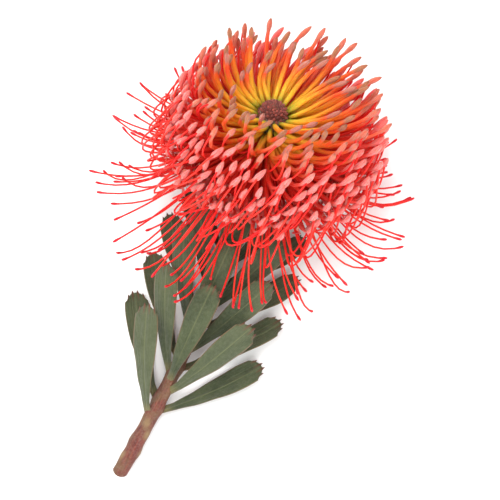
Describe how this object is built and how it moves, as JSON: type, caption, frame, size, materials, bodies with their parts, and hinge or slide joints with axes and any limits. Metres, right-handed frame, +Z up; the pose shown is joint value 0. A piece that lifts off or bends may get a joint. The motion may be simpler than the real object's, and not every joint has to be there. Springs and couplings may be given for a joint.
{
  "type": "pincushion protea flower",
  "caption": "Cut pincushion protea stem lying down: a domed head of long tubular florets turned up on a bent neck, with looping styles, over a leafy stem.",
  "frame": {"origin": "on the surface the stem lies on, under the middle of the whole flower's bounding box", "axes": "+Y along the stem from its cut end towards the flower head, +Z up from the surface"},
  "size_m": [0.1462, 0.2394, 0.0986],
  "materials": {
    "stem_bark": "matte",
    "receptacle_tissue": "matte",
    "crown_wool": "matte",
    "bract_wool": "matte",
    "crown_floret": "satin",
    "inner_floret": "satin",
    "upper_floret": "satin",
    "middle_floret": "satin",
    "lower_floret": "satin",
    "outer_floret": "satin",
    "open_style": "satin",
    "leaf": "matte"
  },
  "bodies": {
    "root": {"stem": "stem_bark", "receptacle": "receptacle_tissue", "crown_button": "crown_wool", "involucre": "bract_wool", "crown_florets_a": "crown_floret", "crown_florets_b": "crown_floret", "crown_florets_c": "crown_floret", "inner_florets_a": "inner_floret", "inner_florets_b": "inner_floret", "inner_florets_c": "inner_floret", "inner_florets_d": "inner_floret", "upper_florets_a": "upper_floret", "upper_florets_b": "upper_floret", "upper_florets_c": "upper_floret", "upper_florets_d": "upper_floret", "middle_florets_a": "middle_floret", "middle_florets_b": "middle_floret", "middle_florets_c": "middle_floret", "middle_florets_d": "middle_floret", "lower_florets_a": "lower_floret", "lower_florets_b": "lower_floret", "lower_florets_c": "lower_floret", "lower_florets_d": "lower_floret", "outer_florets_a": "outer_floret", "outer_florets_b": "outer_floret", "outer_florets_c": "outer_floret", "outer_florets_d": "outer_floret", "open_styles_a": "open_style", "open_styles_b": "open_style", "open_styles_c": "open_style", "open_styles_d": "open_style", "leaf_01": "leaf", "leaf_02": "leaf", "leaf_03": "leaf", "leaf_04": "leaf", "leaf_05": "leaf", "leaf_06": "leaf", "leaf_07": "leaf", "leaf_08": "leaf", "leaf_09": "leaf", "leaf_10": "leaf", "leaf_11": "leaf", "leaf_12": "leaf", "leaf_13": "leaf", "leaf_14": "leaf", "leaf_15": "leaf", "leaf_16": "leaf", "leaf_17": "leaf", "leaf_18": "leaf", "leaf_19": "leaf", "leaf_20": "leaf", "leaf_21": "leaf", "leaf_22": "leaf", "leaf_23": "leaf"}
  },
  "joints": []
}
